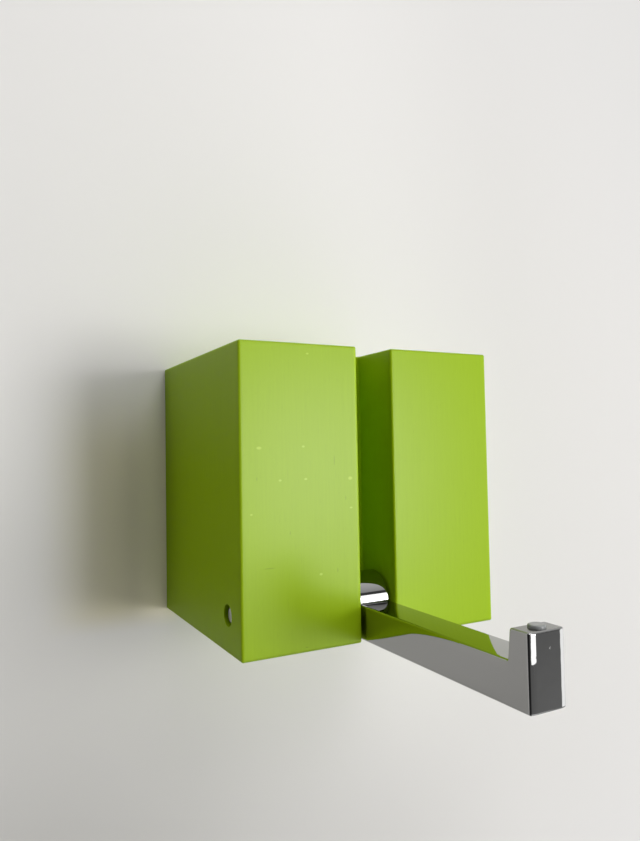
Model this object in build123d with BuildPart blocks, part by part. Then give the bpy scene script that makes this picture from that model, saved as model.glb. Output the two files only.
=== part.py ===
"""Folding wall hook: a lacquered wooden block with a slot, and a chrome arm that folds up into it.

The origin is the middle of the block's back face, which lies on the wall. +X runs along the wall,
+Y into it and +Z up. The arm is open: it points away from the wall, along -Y.
"""

from build123d import *

import os
from math import asin, degrees

# Driving dimensions, in millimetres

# Wooden block
block_width = 70.0
block_height = 70.0
block_depth = 60.0
block_edge_round = 0.5

# Slot in the middle of the front, open at the top and the bottom
slot_width = 9.8
slot_depth = 15.25
slot_corner_round = 0.6

# Screw holes in the slot's floor, which the folded arm covers
screw_hole_diameter = 4.5
screw_head_margin = 0.9  # slot floor left on each side of the countersink
lower_screw_height = 24.0  # above the block's bottom
upper_screw_drop = 14.0  # below the block's top

# Pivot pin, driven in from the left face
pivot_setback = 8.5  # behind the block's front
pivot_height = 8.5  # above the block's bottom
pin_diameter = 5.0
pin_recess = 0.7  # of the pin's end in the left face
pin_grip = 11.1  # length held in the right cheek
pin_chamfer = 0.75
pin_fit = 0.01  # radial, in the wood
pin_end_room = 0.5  # hole beyond the pin

# Arm
arm_inset = 0.35  # of the folded arm, inside the block's front and top
side_clearance = 0.7  # between the arm and each wall of the slot
back_clearance = 0.15  # between the knuckle and the slot's floor
bore_clearance = 0.05  # radial, running fit on the pin
arm_edge_round = 0.4
heel_round = 3.0  # rear lower corner, which swings down through the slot's open bottom
inner_round = 0.4  # foot of the knuckle and foot of the tip
tip_thickness = 5.3  # at its foot
tip_draft = 0.6  # lean of the tip's back, which makes its top thinner
tip_roll_radius = 5.0  # the polished front rolls off towards its upright edges
tip_roll_width = 1.5  # of the roll-off on each side
tip_back_round = 0.5  # rear edge of the tip's top

# Buffer in the top of the tip, which faces the slot's floor when the arm is folded
buffer_diameter = 3.2
buffer_proud = 0.6
buffer_seat_depth = 2.5
buffer_edge_round = 0.3
buffer_fit = 0.01  # radial, in the tip
folded_gap = 0.5  # between the buffer and the slot's floor

# Places and sizes that follow from them

front_y = -block_depth
floor_y = front_y + slot_depth
bottom_z = -block_height / 2
top_z = block_height / 2
left_x = -block_width / 2
lower_screw_z = bottom_z + lower_screw_height
upper_screw_z = top_z - upper_screw_drop
screw_head_diameter = slot_width - 2 * screw_head_margin

pivot_y = front_y + pivot_setback
pivot_z = bottom_z + pivot_height
pin_left_x = left_x + pin_recess
pin_right_x = slot_width / 2 + pin_grip
pin_hole_depth = pin_right_x + pin_end_room - left_x

arm_width = slot_width - 2 * side_clearance
knuckle_radius = slot_depth - pivot_setback - back_clearance
bar_height = pivot_setback - arm_inset
arm_reach = block_height - pivot_height - arm_inset
tip_rise = slot_depth - pivot_setback - buffer_proud - folded_gap

bar_top_z = pivot_z
bar_bottom_z = bar_top_z - bar_height
heel_y = pivot_y + knuckle_radius
tip_front_y = pivot_y - arm_reach
tip_back_y = tip_front_y + tip_thickness
tip_top_z = bar_top_z + tip_rise
tip_top_back_y = tip_back_y - tip_draft
tip_middle_y = (tip_front_y + tip_top_back_y) / 2
tip_flat_width = arm_width - 2 * tip_roll_width
tip_roll_angle = degrees(asin(tip_roll_width / tip_roll_radius))

os.makedirs("parts", exist_ok=True)

# Block: a U in plan, with every edge eased but those that lie on the wall

with BuildPart() as block:
    with BuildSketch(Plane.XY.offset(bottom_z)):
        Rectangle(block_width, block_depth, align=(Align.CENTER, Align.MAX))
        with Locations((0, front_y)):
            Rectangle(slot_width, slot_depth, align=(Align.CENTER, Align.MIN), mode=Mode.SUBTRACT)
        slot_corners = vertices().filter_by_position(Axis.Y, floor_y, floor_y)
        fillet(slot_corners, slot_corner_round)
    extrude(amount=block_height)

    front_edges = edges().filter_by(Axis.Z).group_by(Axis.Y)[0]
    end_edges = faces().sort_by(Axis.Z)[0].edges() + faces().sort_by(Axis.Z)[-1].edges()
    wall_edges = end_edges.group_by(Axis.Y)[-1]
    fillet(front_edges + (end_edges - wall_edges), block_edge_round)

    with Locations(Plane((left_x, pivot_y, pivot_z), z_dir=(-1, 0, 0))):
        Hole(pin_diameter / 2 + pin_fit, depth=pin_hole_depth)
    for screw_z in (lower_screw_z, upper_screw_z):
        with Locations(Plane((0, floor_y, screw_z), z_dir=(0, -1, 0))):
            CounterSinkHole(screw_hole_diameter / 2, screw_head_diameter / 2)

block.part.label = "block"
export_step(block.part, "parts/block.step")

# Pivot pin: a plain dowel with chamfered ends

with BuildPart() as pivot_pin:
    with BuildSketch(Plane((pin_left_x, pivot_y, pivot_z), z_dir=(1, 0, 0))):
        Circle(pin_diameter / 2)
    extrude(amount=pin_right_x - pin_left_x)
    chamfer(edges().filter_by(GeomType.CIRCLE), pin_chamfer)

pivot_pin.part.label = "pivot_pin"
export_step(pivot_pin.part, "parts/pivot_pin.step")

# Arm: one casting. Its knuckle is centred on the pin, level with the top of the bar. The flat heel
# under the knuckle meets the slot's floor when the arm is open, and holds it there.

with BuildPart() as hook_arm:
    with BuildSketch(Plane.YZ):
        with BuildLine():
            nose = Line((tip_front_y, bar_bottom_z), (tip_front_y, tip_top_z))
            tip_top = Line(nose @ 1, (tip_top_back_y, tip_top_z))
            tip_back = Line(tip_top @ 1, (tip_back_y, bar_top_z))
            Line(tip_back @ 1, (pivot_y - knuckle_radius, bar_top_z))
            knuckle = CenterArc((pivot_y, pivot_z), knuckle_radius, 180, -180)
            heel = Line(knuckle @ 1, (heel_y, bar_bottom_z))
            Line(heel @ 1, nose @ 0)
        make_face()
        fillet(vertices().group_by(Axis.Y)[0].sort_by(Axis.X)[-1], heel_round)
        feet = vertices().filter_by_position(Axis.Y, bar_top_z, bar_top_z).sort_by(Axis.X)[:-1]
        fillet(feet, inner_round)
        tip_rear = vertices().filter_by_position(Axis.Y, tip_top_z, tip_top_z).sort_by(Axis.X)[-1]
        fillet(tip_rear, tip_back_round)
    extrude(amount=arm_width / 2, both=True)

    # Outline from above, whose front rolls off on both sides
    with BuildSketch(Plane.XY.offset(bar_bottom_z)):
        with BuildLine():
            front = Line((-tip_flat_width / 2, tip_front_y), (tip_flat_width / 2, tip_front_y))
            right_roll = JernArc(front @ 1, (1, 0), tip_roll_radius, tip_roll_angle)
            left_roll = JernArc(front @ 0, (-1, 0), tip_roll_radius, -tip_roll_angle)
            Polyline(right_roll @ 1, (arm_width / 2, heel_y), (-arm_width / 2, heel_y), left_roll @ 1)
        make_face()
    extrude(amount=bar_height + knuckle_radius, mode=Mode.INTERSECT)

    sides = faces().filter_by(Axis.X).sort_by(Axis.X)
    rim = sides[0].edges() + sides[-1].edges()
    flat_edges, roll_edges = edges().group_by(Axis.Y)[:2]
    front_rim = (flat_edges + roll_edges).filter_by(Axis.Z, reverse=True)
    fillet(rim + front_rim, arm_edge_round)

    with Locations(Plane((arm_width / 2, pivot_y, pivot_z), z_dir=(1, 0, 0))):
        Hole(pin_diameter / 2 + bore_clearance)
    with Locations((0, tip_middle_y, tip_top_z)):
        Hole(buffer_diameter / 2 + buffer_fit, depth=buffer_seat_depth)

hook_arm.part.label = "hook_arm"
export_step(hook_arm.part, "parts/hook_arm.step")

# Buffer: a round stud pressed into the tip, with a rounded rim

with BuildPart() as tip_buffer:
    with BuildSketch(Plane.XY.offset(tip_top_z - buffer_seat_depth)):
        with Locations((0, tip_middle_y)):
            Circle(buffer_diameter / 2)
    extrude(amount=buffer_seat_depth + buffer_proud)
    fillet(edges().sort_by(Axis.Z)[-1], buffer_edge_round)

tip_buffer.part.label = "tip_buffer"
export_step(tip_buffer.part, "parts/tip_buffer.step")
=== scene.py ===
"""Looks of the folding wall hook: lacquered wooden block, chrome arm, steel pin and grey buffer.

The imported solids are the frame. This script gives them their finishes, hangs them on a pale wall,
lights them like a room with one window and sets the camera as in the photo.
"""

import math

import bpy
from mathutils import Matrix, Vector


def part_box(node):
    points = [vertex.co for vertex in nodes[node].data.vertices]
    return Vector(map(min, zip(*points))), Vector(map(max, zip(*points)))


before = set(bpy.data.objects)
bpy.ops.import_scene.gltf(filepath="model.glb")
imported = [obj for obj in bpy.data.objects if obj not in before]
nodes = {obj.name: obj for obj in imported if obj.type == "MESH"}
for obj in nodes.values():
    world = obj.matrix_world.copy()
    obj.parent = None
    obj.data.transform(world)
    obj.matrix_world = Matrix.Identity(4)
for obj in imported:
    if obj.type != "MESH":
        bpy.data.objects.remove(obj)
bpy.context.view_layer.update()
block_low, block_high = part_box("block")
arm_low, arm_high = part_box("hook_arm")

MM = 0.001

# Camera: its place, turn and lens in the photo, in the hook's own frame
CAMERA_PLACE_MM = (-88.23, -197.65, 10.66)
CAMERA_TURN_DEG = (92.414, 1.022, -27.944)
CAMERA_LENS_MM = 28.930
CAMERA_SENSOR_MM = 36.0

# Cards that stand round the hook: a window with a bright middle and a dark lintel, pale patches of
# ceiling and floor, and a pale door on the right. Each has its lowest and highest azimuth and
# elevation in degrees. The window's stops are shares of its height.
CARD_DISTANCE = 1.0
WINDOW_SPAN = ((16, 33.5), (-16.7, 14.4))
LINTEL_SPAN = ((5, 48), (14.4, 23.6))
CEILING_SPAN = ((-4, 27), (31, 66))
FLOOR_SPAN = ((0, 45), (-62, -30))
DOOR_SPAN = ((55, 100), (-24, 12))
WINDOW_GLOW = 14.4
WINDOW_EDGE_GLOW = 2.5
WINDOW_STOPS = (0.09, 0.33, 0.66, 0.88)
LINTEL_GLOW = 0.08
CEILING_GLOW = 3.4
FLOOR_GLOW = 1.0
DOOR_GLOW = 1.8
WHITE = (1, 1, 1, 1)

# Room: dim light from all round, brighter towards the ceiling, the floor and the right
ROOM_FLOOR = (0.34, 0.34, 0.34, 1)
ROOM_HORIZON = (0.05, 0.05, 0.05, 1)
ROOM_CEILING = (0.65, 0.65, 0.65, 1)
ROOM_RIGHT = 0.90
BACKGROUND = (0.79, 0.78, 0.765, 1)

# Green lacquer over fine upright grain with small pores
LACQUER_DARK = (0.308, 0.480, 0.004, 1)
LACQUER_PALE = (0.346, 0.528, 0.006, 1)
LACQUER_ROUGHNESS = 0.40
GRAIN_SCALE = (2200, 2200, 70)
GRAIN_ROUGHNESS = 0.06
GRAIN_DEPTH = 0.008 * MM
GRAIN_RELIEF = 0.6
PORE_SCALE = (3000, 3000, 320)
PORE_LEVELS = (0.62, 0.75)
PORE_COLOUR = (0.22, 0.34, 0.003, 1)
PORE_STRENGTH = 0.16
PORE_RELIEF = 0.8

# Gloss of the lacquer: least on the sides, a little below their middle. What the front and the ends
# of the sides have more is added to it. Behind the front, its finish starts and is full at two depths.
FRONT_DEPTH = (0.35 * MM, 0.05 * MM)
FRONT_COAT = 0.66
SIDE_COAT = 0.18
END_COAT = 0.30
DULL_LEVEL = -8 * MM
DULL_REACH = (8 * MM, 32 * MM)
COAT_ROUGHNESS = 0.30
COAT_IOR = 1.33

# Lacquer that has run back from the block's edges, so that they look softer than the wood under it.
# A pale line along the upright edges of the front is a painted highlight, and a dark line along the
# level ones is painted shade.
SOFT_EDGE_WIDTH = 1.5 * MM
SOFT_EDGE_TILT = 0.45
SLOT_HALF_WIDTH = 4.9 * MM
SLOT_DEPTH = 15.25 * MM
EDGE_LINE_WIDTH = 0.8 * MM
UPRIGHT_EDGE_HIGHLIGHT_COLOUR = (0.46, 0.67, 0.01, 1)
UPRIGHT_EDGE_HIGHLIGHT_STRENGTH = 0.35
LEVEL_EDGE_SHADE_COLOUR = (0.20, 0.33, 0.003, 1)
LEVEL_EDGE_SHADE_STRENGTH = 0.5

# Marks in the lacquer of the left cheek's front, in mm: place across, place up, half width and half
# height. Chips are pale and scratches are dark. Each mark fades from its middle to its edge.
CHIPS_MM = (
    (-30.4, 11.1, 0.80, 0.44),
    (-19.5, 11.3, 0.50, 0.32),
    (-25.4, 3.8, 0.50, 0.32),
    (-19.0, 3.9, 0.52, 0.34),
    (-7.3, 3.7, 0.75, 0.55),
    (-7.2, -3.2, 0.52, 0.30),
    (-32.4, -3.4, 0.42, 0.30),
    (-15.5, -17.9, 0.56, 0.38),
    (-18.1, 32.6, 0.48, 0.30),
)
CHIP_COLOUR = (0.62, 0.78, 0.10, 1)
CHIP_STRENGTH = 0.55
SCRATCHES_MM = (
    (-8.6, -0.9, 0.14, 0.75),
    (-11.1, -17.4, 0.16, 0.75),
    (-23.1, -8.0, 0.12, 0.60),
    (-11.5, 8.0, 0.12, 1.70),
    (-31.0, 4.3, 0.13, 0.60),
    (-28.3, -15.4, 1.90, 0.13),
    (-19.4, -33.8, 0.50, 0.14),
)
SCRATCH_COLOUR = (0.14, 0.24, 0.003, 1)
SCRATCH_STRENGTH = 0.5
SCRATCH_RELIEF = 2.0
MARK_FADE = (1.0, 0.4)

# Chrome plate, duller on the tip's top
CHROME_COLOUR = (0.43, 0.43, 0.425, 1)
CHROME_EDGE_TINT = (0.86, 0.86, 0.86, 1)
CHROME_ROUGHNESS = 0.03
TIP_TOP_COLOUR = (0.35, 0.35, 0.345, 1)
TIP_TOP_ROUGHNESS = 0.22
NICK_MM = (0.5, -23.9, 0.35, 0.35)
NICK_ROUGHNESS = 0.20

# Polished faces of the arm: each is a little crowned, rolls off towards its edges and is not quite
# even. Depths are measured back from the named face.
CROWN_RADIUS = 78 * MM
KNUCKLE_FADE = 3 * MM
ROLL_OFF_WIDTH = 2.5 * MM
ROLL_OFF_TILT = 0.10
BAR_MIDDLE_Z = -30.6 * MM
BAR_HALF_HEIGHT = 4.1 * MM
BAR_END_Y = (-108 * MM, -104 * MM)
TIP_TOP_Z = -20.85 * MM
TIP_TOP_DEPTH = (0.40 * MM, 0.15 * MM)
TIP_FRONT_Y = arm_low.y
TIP_FRONT_DEPTH = 1 * MM
TIP_ROLL_WIDTH = 1.1 * MM
TIP_ROLL_TILT = 0.50
SIDE_DEPTH = (0.25 * MM, 0.05 * MM)
SWELL_SCALE = 130.0
SWELL_HEIGHT = 0.004 * MM
RIPPLE_SCALE = 360.0
RIPPLE_HEIGHT = 0.025 * MM

# Pivot pin: ground steel, with its chamfered rim painted dark as shade in the hole
PIN_AXIS_Y = -51.5 * MM
PIN_AXIS_Z = -26.5 * MM
PIN_RIM = (1.40 * MM, 1.62 * MM)
PIN_DARK = (0.46, 0.46, 0.43, 1)
PIN_PALE = (0.60, 0.60, 0.565, 1)
PIN_RIM_SHADE = (0.05, 0.05, 0.045, 1)
PIN_SCRATCH_SCALE = 2500.0
PIN_ROUGHNESS = 0.25
PIN_SCRATCH_ROUGHNESS = 0.2
PIN_RIM_ROUGHNESS = 0.2

# Buffer: smooth mottled grey
BUFFER_DARK = (0.24, 0.25, 0.245, 1)
BUFFER_PALE = (0.29, 0.30, 0.295, 1)
BUFFER_MOTTLE_SCALE = 900.0
BUFFER_ROUGHNESS = 0.10
BUFFER_MOTTLE_ROUGHNESS = 0.08

# Wall that the block's back edges sink into, with an opening there, so that the back is lit too
WALL_SIZE = 3.0
WALL_INSET = 0.2 * MM
WALL_OVERLAP = 1.0 * MM
WALL_FADE = (0.13, 0.30)

# Tones of the wall: painted shade that darkens it towards the lower left, the bottom and the right, and
# a painted shadow to the left of the block, paler and yellower near it. Each range runs from where a
# tone starts to where it is full.
WALL_COLOUR = (0.845, 0.828, 0.808, 1)
WALL_SHADE_COLOUR = (0.50, 0.49, 0.47, 1)
CORNER_PAINTED_SHADE = 0.62
CORNER_ACROSS = (10 * MM, -80 * MM)
CORNER_DOWN = (50 * MM, -40 * MM)
LOW_PAINTED_SHADE = 0.45
LOW_ACROSS = (110 * MM, 20 * MM)
LOW_DOWN = (-50 * MM, -130 * MM)
RIGHT_PAINTED_SHADE = 0.25
RIGHT_ACROSS = (10 * MM, 110 * MM)
SHADOW_NEAR_COLOUR = (0.87, 0.81, 0.62, 1)
SHADOW_FAR_COLOUR = (0.63, 0.59, 0.45, 1)
SHADOW_NEAR_TO_FAR = (-36 * MM, -46 * MM)
SHADOW_RIGHT_END = (-30 * MM, -34 * MM)
SHADOW_LEFT_END = (-72 * MM, -50 * MM)
SHADOW_TOP_END = (38 * MM, 6 * MM)
SHADOW_BOTTOM_END = (-41 * MM, -33 * MM)


class Wire:
    """One socket of a shader tree. Sums on it add Math nodes, and make() adds any other node."""

    def __init__(self, tree, socket=None):
        self.tree = tree
        self.socket = socket

    def make(self, kind, settings=None, sockets=None, out=0):
        """Adds a node, sets its settings, then the values or wires of its sockets."""
        node = self.tree.nodes.new(kind)
        for name, value in (settings or {}).items():
            if name == "stops":
                self.set_stops(node.color_ramp.elements, value)
            else:
                setattr(node, name, value)
        for key, value in (sockets or {}).items():
            if isinstance(value, Wire):
                self.tree.links.new(value.socket, node.inputs[key])
            else:
                node.inputs[key].default_value = value
        return Wire(self.tree, node.outputs[out] if len(node.outputs) else None)

    def set_stops(self, elements, stops):
        while len(elements) < len(stops):
            elements.new(1.0)
        for element, (position, colour) in zip(elements, stops):
            element.position = position
            element.color = colour

    def other(self, name):
        """Another output of the same node."""
        return Wire(self.tree, self.socket.node.outputs[name])

    def maths(self, operation, *terms, first=None):
        """A Math node on this wire and the terms after it, or on a first term and this wire."""
        terms = (self, *terms) if first is None else (first, self)
        return self.make("ShaderNodeMath", {"operation": operation}, dict(enumerate(terms)))

    def __add__(self, term):
        return self.maths("ADD", term)

    def __sub__(self, term):
        return self.maths("SUBTRACT", term)

    def __rsub__(self, term):
        return self.maths("SUBTRACT", first=term)

    def __mul__(self, term):
        return self.maths("MULTIPLY", term)

    __radd__ = __add__
    __rmul__ = __mul__

    def __neg__(self):
        return self * -1.0

    def __abs__(self):
        return self.maths("ABSOLUTE")

    def length(self):
        """Length of a vector."""
        return self.make("ShaderNodeVectorMath", {"operation": "LENGTH"}, {0: self}, out="Value")

    def axes(self):
        """X, Y and Z of a vector."""
        x = self.make("ShaderNodeSeparateXYZ", None, {"Vector": self}, out="X")
        return x, x.other("Y"), x.other("Z")

    def stretched(self, scale, start=(0, 0, 0)):
        """A vector times a scale along each axis, moved by start."""
        terms = {0: self, 1: scale, 2: start}
        return self.make("ShaderNodeVectorMath", {"operation": "MULTIPLY_ADD"}, terms)

    def noise(self, scale, detail):
        """Noise over a vector, from 0 to 1."""
        return self.make("ShaderNodeTexNoise", None, {"Vector": self, "Scale": scale, "Detail": detail})

    def step(self, low, high):
        """0 up to low, 1 from high on, and smooth between. High may be the lesser of the two."""
        ends = {"Value": self, "From Min": low, "From Max": high}
        return self.make("ShaderNodeMapRange", {"interpolation_type": "SMOOTHSTEP"}, ends)

    def roll_off(self, edge, width, tilt):
        """Height that falls more and more steeply over the last width before an edge, to that tilt."""
        ends = {"Value": self, "From Min": edge - width, "From Max": edge}
        past = self.make("ShaderNodeMapRange", None, ends)
        return past * past * past * (-tilt * width / 3)

    def spots(self, marks):
        """1 in the middle of each mark on a place, 0 outside them. Marks lie flat in X and Z."""
        total = 0.0
        for x, z, half_width, half_height in marks:
            scale = (1 / (half_width * MM), 0, 1 / (half_height * MM))
            start = (-x / half_width, 0, -z / half_height)
            total = self.stretched(scale, start).length().step(*MARK_FADE) + total
        return total

    def blend(self, first, second):
        """A colour that goes from first to second as this value goes from 0 to 1."""
        sockets = {0: self, 6: first, 7: second}
        return self.make("ShaderNodeMix", {"data_type": "RGBA"}, sockets, out=2)


def new_finish(name):
    """An empty material, the wire to build it with and the place on the piece."""
    made = bpy.data.materials.new(name)
    made.use_nodes = True
    made.node_tree.nodes.clear()
    wire = Wire(made.node_tree)
    return made, wire, wire.make("ShaderNodeTexCoord", out="Object")


def coat_with(node_name, made):
    """Gives a solid its finish."""
    piece = nodes[node_name]
    piece.data.materials.clear()
    piece.data.materials.append(made)


def lacquer_soft_edges(from_middle, y, from_level):
    """Height of the lacquer, which falls towards the block's edges and those of the slot."""
    slot_floor = block_low.y + SLOT_DEPTH
    along_slot = y.step(slot_floor + SOFT_EDGE_WIDTH, slot_floor)
    slot_roll = (-from_middle).roll_off(-SLOT_HALF_WIDTH, SOFT_EDGE_WIDTH, SOFT_EDGE_TILT)
    height = slot_roll * along_slot
    for reach, edge in (
        (from_middle, block_high.x),
        (from_level, block_high.z),
        (-y, -block_low.y),
    ):
        height = reach.roll_off(edge, SOFT_EDGE_WIDTH, SOFT_EDGE_TILT) + height
    return height


def green_lacquer():
    """Lacquer over the wood's grain and pores, with its soft edges, chips and scratches, and a painted
    highlight and painted shade along the front's edges.
    """
    made, wire, place = new_finish("green_lacquer")
    x, y, z = place.axes()
    from_middle, from_level = abs(x), abs(z)
    on_front = y.step(*[block_low.y + depth for depth in FRONT_DEPTH])

    grain = place.stretched(GRAIN_SCALE).noise(1.0, detail=2.0)
    pores = place.stretched(PORE_SCALE).noise(1.0, detail=1.0).step(*PORE_LEVELS)
    chips = place.spots(CHIPS_MM) * on_front
    scratches = place.spots(SCRATCHES_MM) * on_front
    # Masks for a painted highlight along the upright edges of the front and painted shade along its
    # level edges
    outer_edges = from_middle.step(block_high.x - EDGE_LINE_WIDTH, block_high.x)
    slot_edges = from_middle.step(SLOT_HALF_WIDTH + EDGE_LINE_WIDTH, SLOT_HALF_WIDTH)
    upright_edge_highlight = (outer_edges + slot_edges) * on_front
    level_edge_shade = from_level.step(block_high.z - EDGE_LINE_WIDTH, block_high.z) * on_front

    colour = grain.blend(LACQUER_DARK, LACQUER_PALE)
    colour = (pores * PORE_STRENGTH).blend(colour, PORE_COLOUR)
    # Painted highlight on the upright edges and painted shade on the level edges
    colour = (upright_edge_highlight * UPRIGHT_EDGE_HIGHLIGHT_STRENGTH).blend(colour, UPRIGHT_EDGE_HIGHLIGHT_COLOUR)
    colour = (level_edge_shade * LEVEL_EDGE_SHADE_STRENGTH).blend(colour, LEVEL_EDGE_SHADE_COLOUR)
    colour = (scratches * SCRATCH_STRENGTH).blend(colour, SCRATCH_COLOUR)
    colour = (chips * CHIP_STRENGTH).blend(colour, CHIP_COLOUR)

    marks = grain * GRAIN_RELIEF - pores * PORE_RELIEF - chips - scratches * SCRATCH_RELIEF
    height = marks * GRAIN_DEPTH + lacquer_soft_edges(from_middle, y, from_level)
    relief = wire.make("ShaderNodeBump", None, {"Height": height, "Distance": 1.0})
    near_ends = abs(z - DULL_LEVEL).step(*DULL_REACH)
    surface = wire.make("ShaderNodeBsdfPrincipled", None, {
        "Base Color": colour,
        "Roughness": grain * GRAIN_ROUGHNESS + LACQUER_ROUGHNESS,
        "Specular IOR Level": 0.0,
        "Coat Weight": on_front * FRONT_COAT + (1 - on_front) * near_ends * END_COAT + SIDE_COAT,
        "Coat Roughness": COAT_ROUGHNESS,
        "Coat IOR": COAT_IOR,
        "Normal": relief,
    })
    wire.make("ShaderNodeOutputMaterial", None, {"Surface": surface})
    return made


def chrome_plate():
    """Polished plate whose faces roll off at their edges, dull on the tip's top and in the nick."""
    made, wire, place = new_finish("chrome_plate")
    x, y, z = place.axes()
    past_knuckle = y.step(block_low.y, block_low.y - KNUCKLE_FADE)
    on_bar = y.step(*BAR_END_Y)
    on_side = abs(x).step(*[arm_high.x - depth for depth in SIDE_DEPTH])
    on_top = z.step(*[TIP_TOP_Z - depth for depth in TIP_TOP_DEPTH]) * (1 - on_bar)
    nick = place.spots((NICK_MM,)) * y.step(TIP_FRONT_Y + TIP_FRONT_DEPTH, TIP_FRONT_Y)

    crown = x * x * past_knuckle * (-0.5 / CROWN_RADIUS)
    from_middle = abs(z - BAR_MIDDLE_Z)
    bar_roll = from_middle.roll_off(BAR_HALF_HEIGHT, ROLL_OFF_WIDTH, ROLL_OFF_TILT) * on_bar
    front_roll = (-y).roll_off(-TIP_FRONT_Y, TIP_ROLL_WIDTH, TIP_ROLL_TILT) * on_side
    swell = place.noise(SWELL_SCALE, detail=1.0) * SWELL_HEIGHT
    ripple = place.noise(RIPPLE_SCALE, detail=1.0) * (1 - on_bar) * RIPPLE_HEIGHT
    waves = swell + ripple
    height = crown + bar_roll + front_roll + waves
    relief = wire.make("ShaderNodeBump", None, {"Height": height, "Distance": 1.0})
    surface = wire.make("ShaderNodeBsdfPrincipled", None, {
        "Base Color": on_top.blend(CHROME_COLOUR, TIP_TOP_COLOUR),
        "Metallic": 1.0,
        "Roughness": on_top * TIP_TOP_ROUGHNESS + nick * NICK_ROUGHNESS + CHROME_ROUGHNESS,
        "Specular Tint": CHROME_EDGE_TINT,
        "Normal": relief,
    })
    wire.make("ShaderNodeOutputMaterial", None, {"Surface": surface})
    return made


def pin_steel():
    """Scratched steel with its rim painted dark as shade."""
    made, wire, place = new_finish("pin_steel")
    scratches = place.noise(PIN_SCRATCH_SCALE, detail=2.0)
    from_axis = place.stretched((0, 1, 1), (0, -PIN_AXIS_Y, -PIN_AXIS_Z)).length()
    rim = from_axis.step(*PIN_RIM)
    ground = scratches.blend(PIN_DARK, PIN_PALE)
    surface = wire.make("ShaderNodeBsdfPrincipled", None, {
        # The chamfered rim is painted dark as shade
        "Base Color": rim.blend(ground, PIN_RIM_SHADE),
        "Metallic": 1.0,
        "Roughness": scratches * PIN_SCRATCH_ROUGHNESS + rim * PIN_RIM_ROUGHNESS + PIN_ROUGHNESS,
    })
    wire.make("ShaderNodeOutputMaterial", None, {"Surface": surface})
    return made


def buffer_grey():
    """Smooth grey, a little mottled."""
    made, wire, place = new_finish("buffer_grey")
    mottle = place.noise(BUFFER_MOTTLE_SCALE, detail=2.0)
    surface = wire.make("ShaderNodeBsdfPrincipled", None, {
        "Base Color": mottle.blend(BUFFER_DARK, BUFFER_PALE),
        "Roughness": mottle * BUFFER_MOTTLE_ROUGHNESS + BUFFER_ROUGHNESS,
    })
    wire.make("ShaderNodeOutputMaterial", None, {"Surface": surface})
    return made


def wall_paint():
    """Pale paint with painted shade and a painted shadow near the hook, see-through from behind, and
    plain far out from the hook.
    """
    made, wire, place = new_finish("wall_paint")
    x, _, z = place.axes()
    # Painted shade: darker towards the lower left, the bottom and the right
    corner = x.step(*CORNER_ACROSS) * z.step(*CORNER_DOWN)
    low = x.step(*LOW_ACROSS) * z.step(*LOW_DOWN)
    right = x.step(*RIGHT_ACROSS)
    painted_shade = corner * CORNER_PAINTED_SHADE + low * LOW_PAINTED_SHADE + right * RIGHT_PAINTED_SHADE
    graded = painted_shade.blend(WALL_COLOUR, WALL_SHADE_COLOUR)
    # Painted shadow of the block on the wall to its left
    shaded = x.step(*SHADOW_NEAR_TO_FAR).blend(SHADOW_NEAR_COLOUR, SHADOW_FAR_COLOUR)
    across_shadow = x.step(*SHADOW_RIGHT_END) * x.step(*SHADOW_LEFT_END)
    up_shadow = z.step(*SHADOW_TOP_END) * z.step(*SHADOW_BOTTOM_END)
    colour = (across_shadow * up_shadow).blend(graded, shaded)

    paint = wire.make("ShaderNodeBsdfDiffuse", None, {"Color": colour})
    plain = wire.make("ShaderNodeEmission", None, {"Color": BACKGROUND})
    ray = wire.make("ShaderNodeLightPath", out="Is Camera Ray")
    seen = ray.maths("MAXIMUM", ray.other("Is Glossy Ray"))
    seen = seen.maths("MAXIMUM", ray.other("Is Transmission Ray"))
    far_out = place.length().step(*WALL_FADE) * seen
    front = wire.make("ShaderNodeMixShader", None, {0: far_out, 1: paint, 2: plain})
    clear = wire.make("ShaderNodeBsdfTransparent")
    behind = wire.make("ShaderNodeNewGeometry", out="Backfacing")
    surface = wire.make("ShaderNodeMixShader", None, {0: behind, 1: front, 2: clear})
    wire.make("ShaderNodeOutputMaterial", None, {"Surface": surface})
    return made


def build_wall():
    """A plane cut round the block's back, with the middle face taken out."""
    bpy.ops.object.select_all(action="DESELECT")
    bpy.ops.mesh.primitive_plane_add(size=WALL_SIZE, rotation=(math.radians(90), 0, 0))
    wall = bpy.context.object
    wall.name = "wall"
    bpy.ops.object.transform_apply()
    bpy.ops.object.mode_set(mode="EDIT")
    for place, normal in (
        ((block_low.x + WALL_OVERLAP, 0, 0), (1, 0, 0)),
        ((block_high.x - WALL_OVERLAP, 0, 0), (1, 0, 0)),
        ((0, 0, block_low.z + WALL_OVERLAP), (0, 0, 1)),
        ((0, 0, block_high.z - WALL_OVERLAP), (0, 0, 1)),
    ):
        bpy.ops.mesh.select_all(action="SELECT")
        bpy.ops.mesh.bisect(plane_co=place, plane_no=normal)
    bpy.ops.object.mode_set(mode="OBJECT")
    for face in wall.data.polygons:
        face.select = face.center.length < WALL_OVERLAP
    for edge in wall.data.edges:
        edge.select = False
    for vertex in wall.data.vertices:
        vertex.select = False
    bpy.ops.object.mode_set(mode="EDIT")
    bpy.ops.mesh.select_mode(type="FACE")
    bpy.ops.mesh.delete(type="ONLY_FACE")
    bpy.ops.object.mode_set(mode="OBJECT")
    wall.location.y = block_high.y - WALL_INSET
    wall.data.materials.append(wall_paint())


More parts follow.
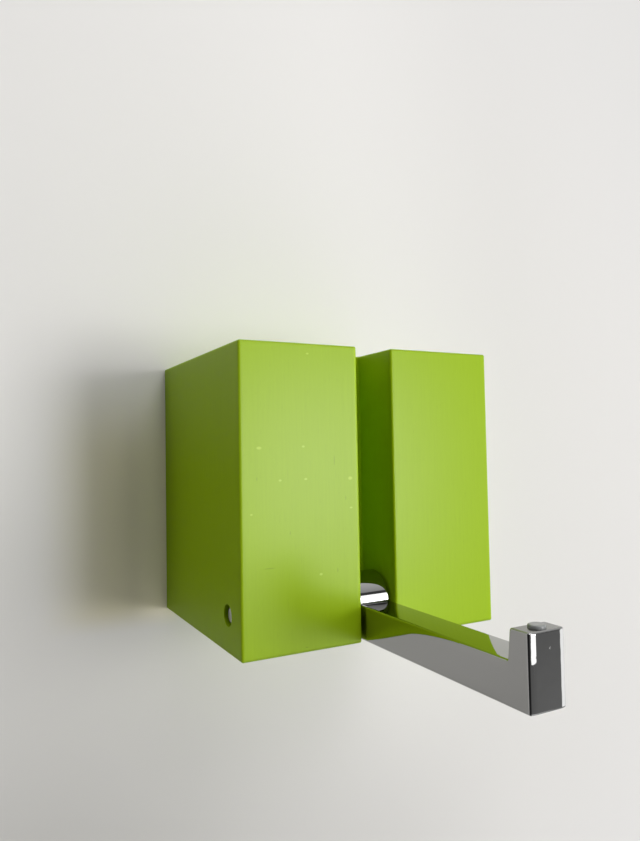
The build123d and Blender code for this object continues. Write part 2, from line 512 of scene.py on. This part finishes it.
def build_card(name, span, glow, shade=None):
    """A card that faces the hook. Its colour is white, or what shade works out up the card."""
    low, high = [[math.radians(turn) for turn in ends] for ends in zip(*span)]
    azimuth, elevation = [(first + last) / 2 for first, last in zip(low, high)]
    half_width, half_height = [(last - first) / 2 for first, last in zip(low, high)]
    towards = Vector((
        math.sin(azimuth) * math.cos(elevation),
        -math.cos(azimuth) * math.cos(elevation),
        math.sin(elevation),
    ))
    bpy.ops.object.select_all(action="DESELECT")
    bpy.ops.mesh.primitive_plane_add(size=2)
    card = bpy.context.object
    card.name = name
    card.scale = (CARD_DISTANCE * math.tan(half_width), CARD_DISTANCE * math.tan(half_height), 1)
    card.rotation_euler = towards.to_track_quat("-Z", "Y").to_euler()
    card.location = towards * CARD_DISTANCE
    card.visible_camera = False
    made, wire, place = new_finish(name)
    colour = shade(place) if shade else WHITE
    light = wire.make("ShaderNodeEmission", None, {"Color": colour, "Strength": glow})
    wire.make("ShaderNodeOutputMaterial", None, {"Surface": light})
    card.data.materials.append(made)


def window_shade(place):
    """White across the middle of the window, dimmer above and below."""
    _, y, _ = place.axes()
    up = y * 0.5 + 0.5
    start, full, fade, end = WINDOW_STOPS
    middle = up.step(start, full) * up.step(end, fade)
    dim = WINDOW_EDGE_GLOW / WINDOW_GLOW
    return middle.blend((dim, dim, dim, 1), WHITE)


def light_room():
    """Cards for the parts of the room that show in the chrome, and a world for the rest."""
    build_card("window", WINDOW_SPAN, WINDOW_GLOW, window_shade)
    build_card("lintel", LINTEL_SPAN, LINTEL_GLOW)
    build_card("ceiling", CEILING_SPAN, CEILING_GLOW)
    build_card("floor", FLOOR_SPAN, FLOOR_GLOW)
    build_card("door", DOOR_SPAN, DOOR_GLOW)

    world = bpy.data.worlds.new("room")
    bpy.context.scene.world = world
    world.use_nodes = True
    world.node_tree.nodes.clear()
    wire = Wire(world.node_tree)
    x, _, z = wire.make("ShaderNodeTexCoord", out="Generated").axes()
    ramp = wire.make("ShaderNodeValToRGB", {
        "stops": ((0.0, ROOM_FLOOR), (0.5, ROOM_HORIZON), (1.0, ROOM_CEILING)),
    }, {"Fac": z * 0.5 + 0.5})
    to_right = x * ROOM_RIGHT + 1.0
    lit = wire.make("ShaderNodeVectorMath", {"operation": "SCALE"}, {0: ramp, "Scale": to_right})
    seen = wire.make("ShaderNodeLightPath", out="Is Camera Ray")
    glow = wire.make("ShaderNodeBackground", None, {"Color": seen.blend(lit, BACKGROUND)})
    wire.make("ShaderNodeOutputWorld", None, {"Surface": glow})


def place_camera():
    data = bpy.data.cameras.new("camera")
    data.sensor_width = CAMERA_SENSOR_MM
    data.lens = CAMERA_LENS_MM
    data.clip_start = MM
    camera = bpy.data.objects.new("camera", data)
    bpy.context.scene.collection.objects.link(camera)
    camera.location = Vector(CAMERA_PLACE_MM) * MM
    camera.rotation_euler = [math.radians(turn) for turn in CAMERA_TURN_DEG]
    bpy.context.scene.camera = camera


coat_with("block", green_lacquer())
coat_with("hook_arm", chrome_plate())
coat_with("pivot_pin", pin_steel())
coat_with("tip_buffer", buffer_grey())
build_wall()
light_room()
place_camera()
bpy.context.scene.view_settings.view_transform = "Standard"
